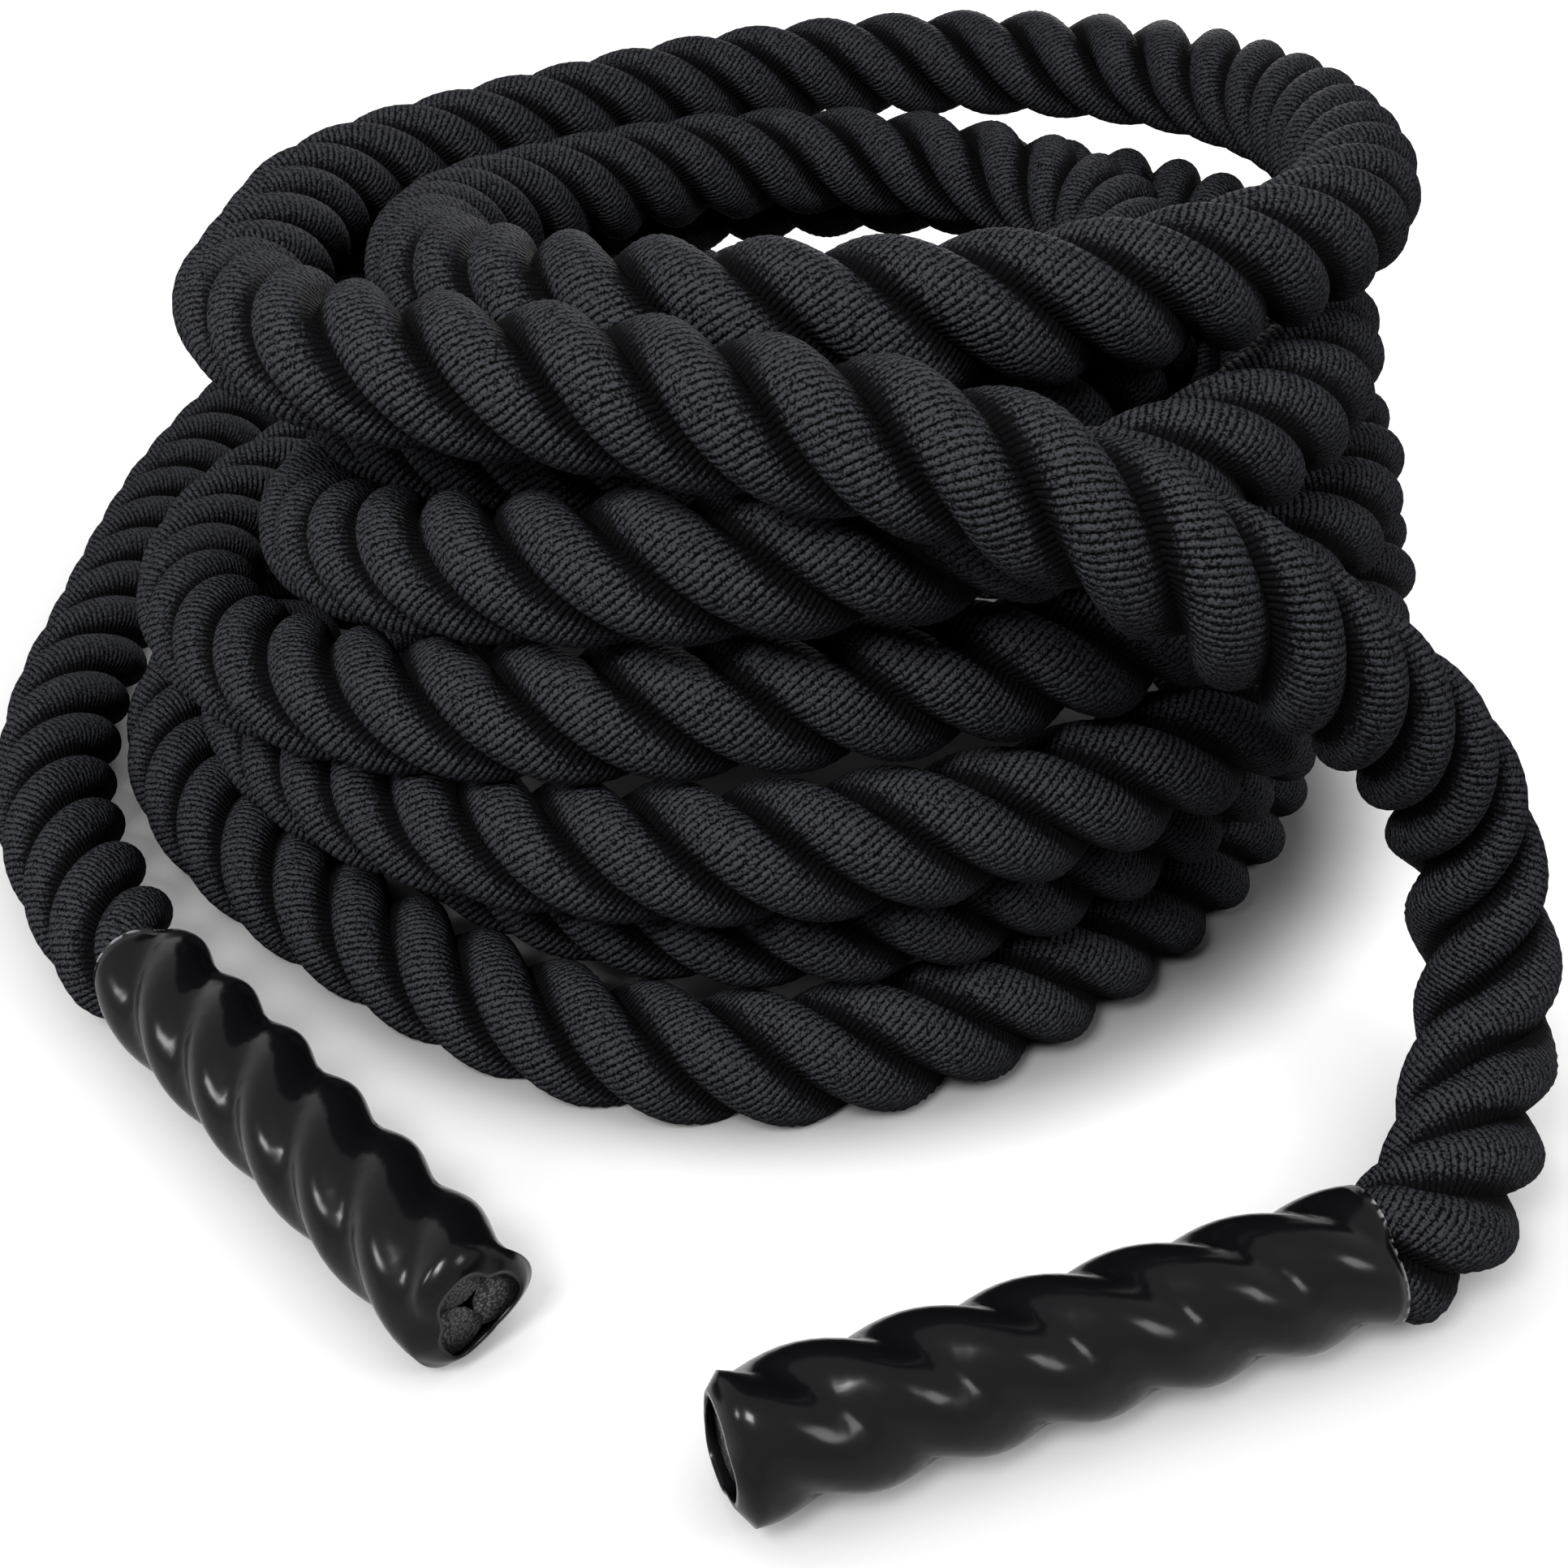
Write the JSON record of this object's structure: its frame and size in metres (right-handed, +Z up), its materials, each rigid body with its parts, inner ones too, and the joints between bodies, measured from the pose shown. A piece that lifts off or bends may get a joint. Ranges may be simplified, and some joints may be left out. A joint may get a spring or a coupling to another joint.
{
  "type": "battle rope",
  "caption": "Heavy three-strand exercise rope laid in a tall round pile, its two ends brought to the front, each with a glossy heat-shrunk grip sleeve.",
  "frame": {"origin": "on the floor, at the middle of the box round the rope as it lies", "axes": "+Z up from the floor, -Y towards the side where both grips lie, +X to the right seen from that side"},
  "size_m": [0.4978, 0.7927, 0.2342],
  "materials": {
    "rope_yarn": "matte",
    "sleeve_vinyl": "glossy"
  },
  "bodies": {
    "pile": {"rope_coil": "rope_yarn", "left_tail": "rope_yarn", "left_bend": "rope_yarn", "right_tail": "rope_yarn", "right_bend": "rope_yarn"},
    "left_grip": {"left_sleeve": "sleeve_vinyl", "left_strand_1": "rope_yarn", "left_strand_2": "rope_yarn", "left_strand_3": "rope_yarn"},
    "right_grip": {"right_sleeve": "sleeve_vinyl", "right_strand_1": "rope_yarn", "right_strand_2": "rope_yarn", "right_strand_3": "rope_yarn"}
  },
  "joints": [
    {"name": "left_grip_lift", "type": "hinge", "parent": "pile", "child": "left_grip", "pos_m": [-0.2229, -0.0617, 0.019], "axis": [-0.8355, -0.5494, 0], "range_deg": [0, 45], "deforming": ["left_bend"]},
    {"name": "right_grip_lift", "type": "hinge", "parent": "pile", "child": "right_grip", "pos_m": [0.2221, -0.2677, 0.024], "axis": [-0.4821, 0.8761, 0], "range_deg": [0, 45], "deforming": ["right_bend"]}
  ]
}
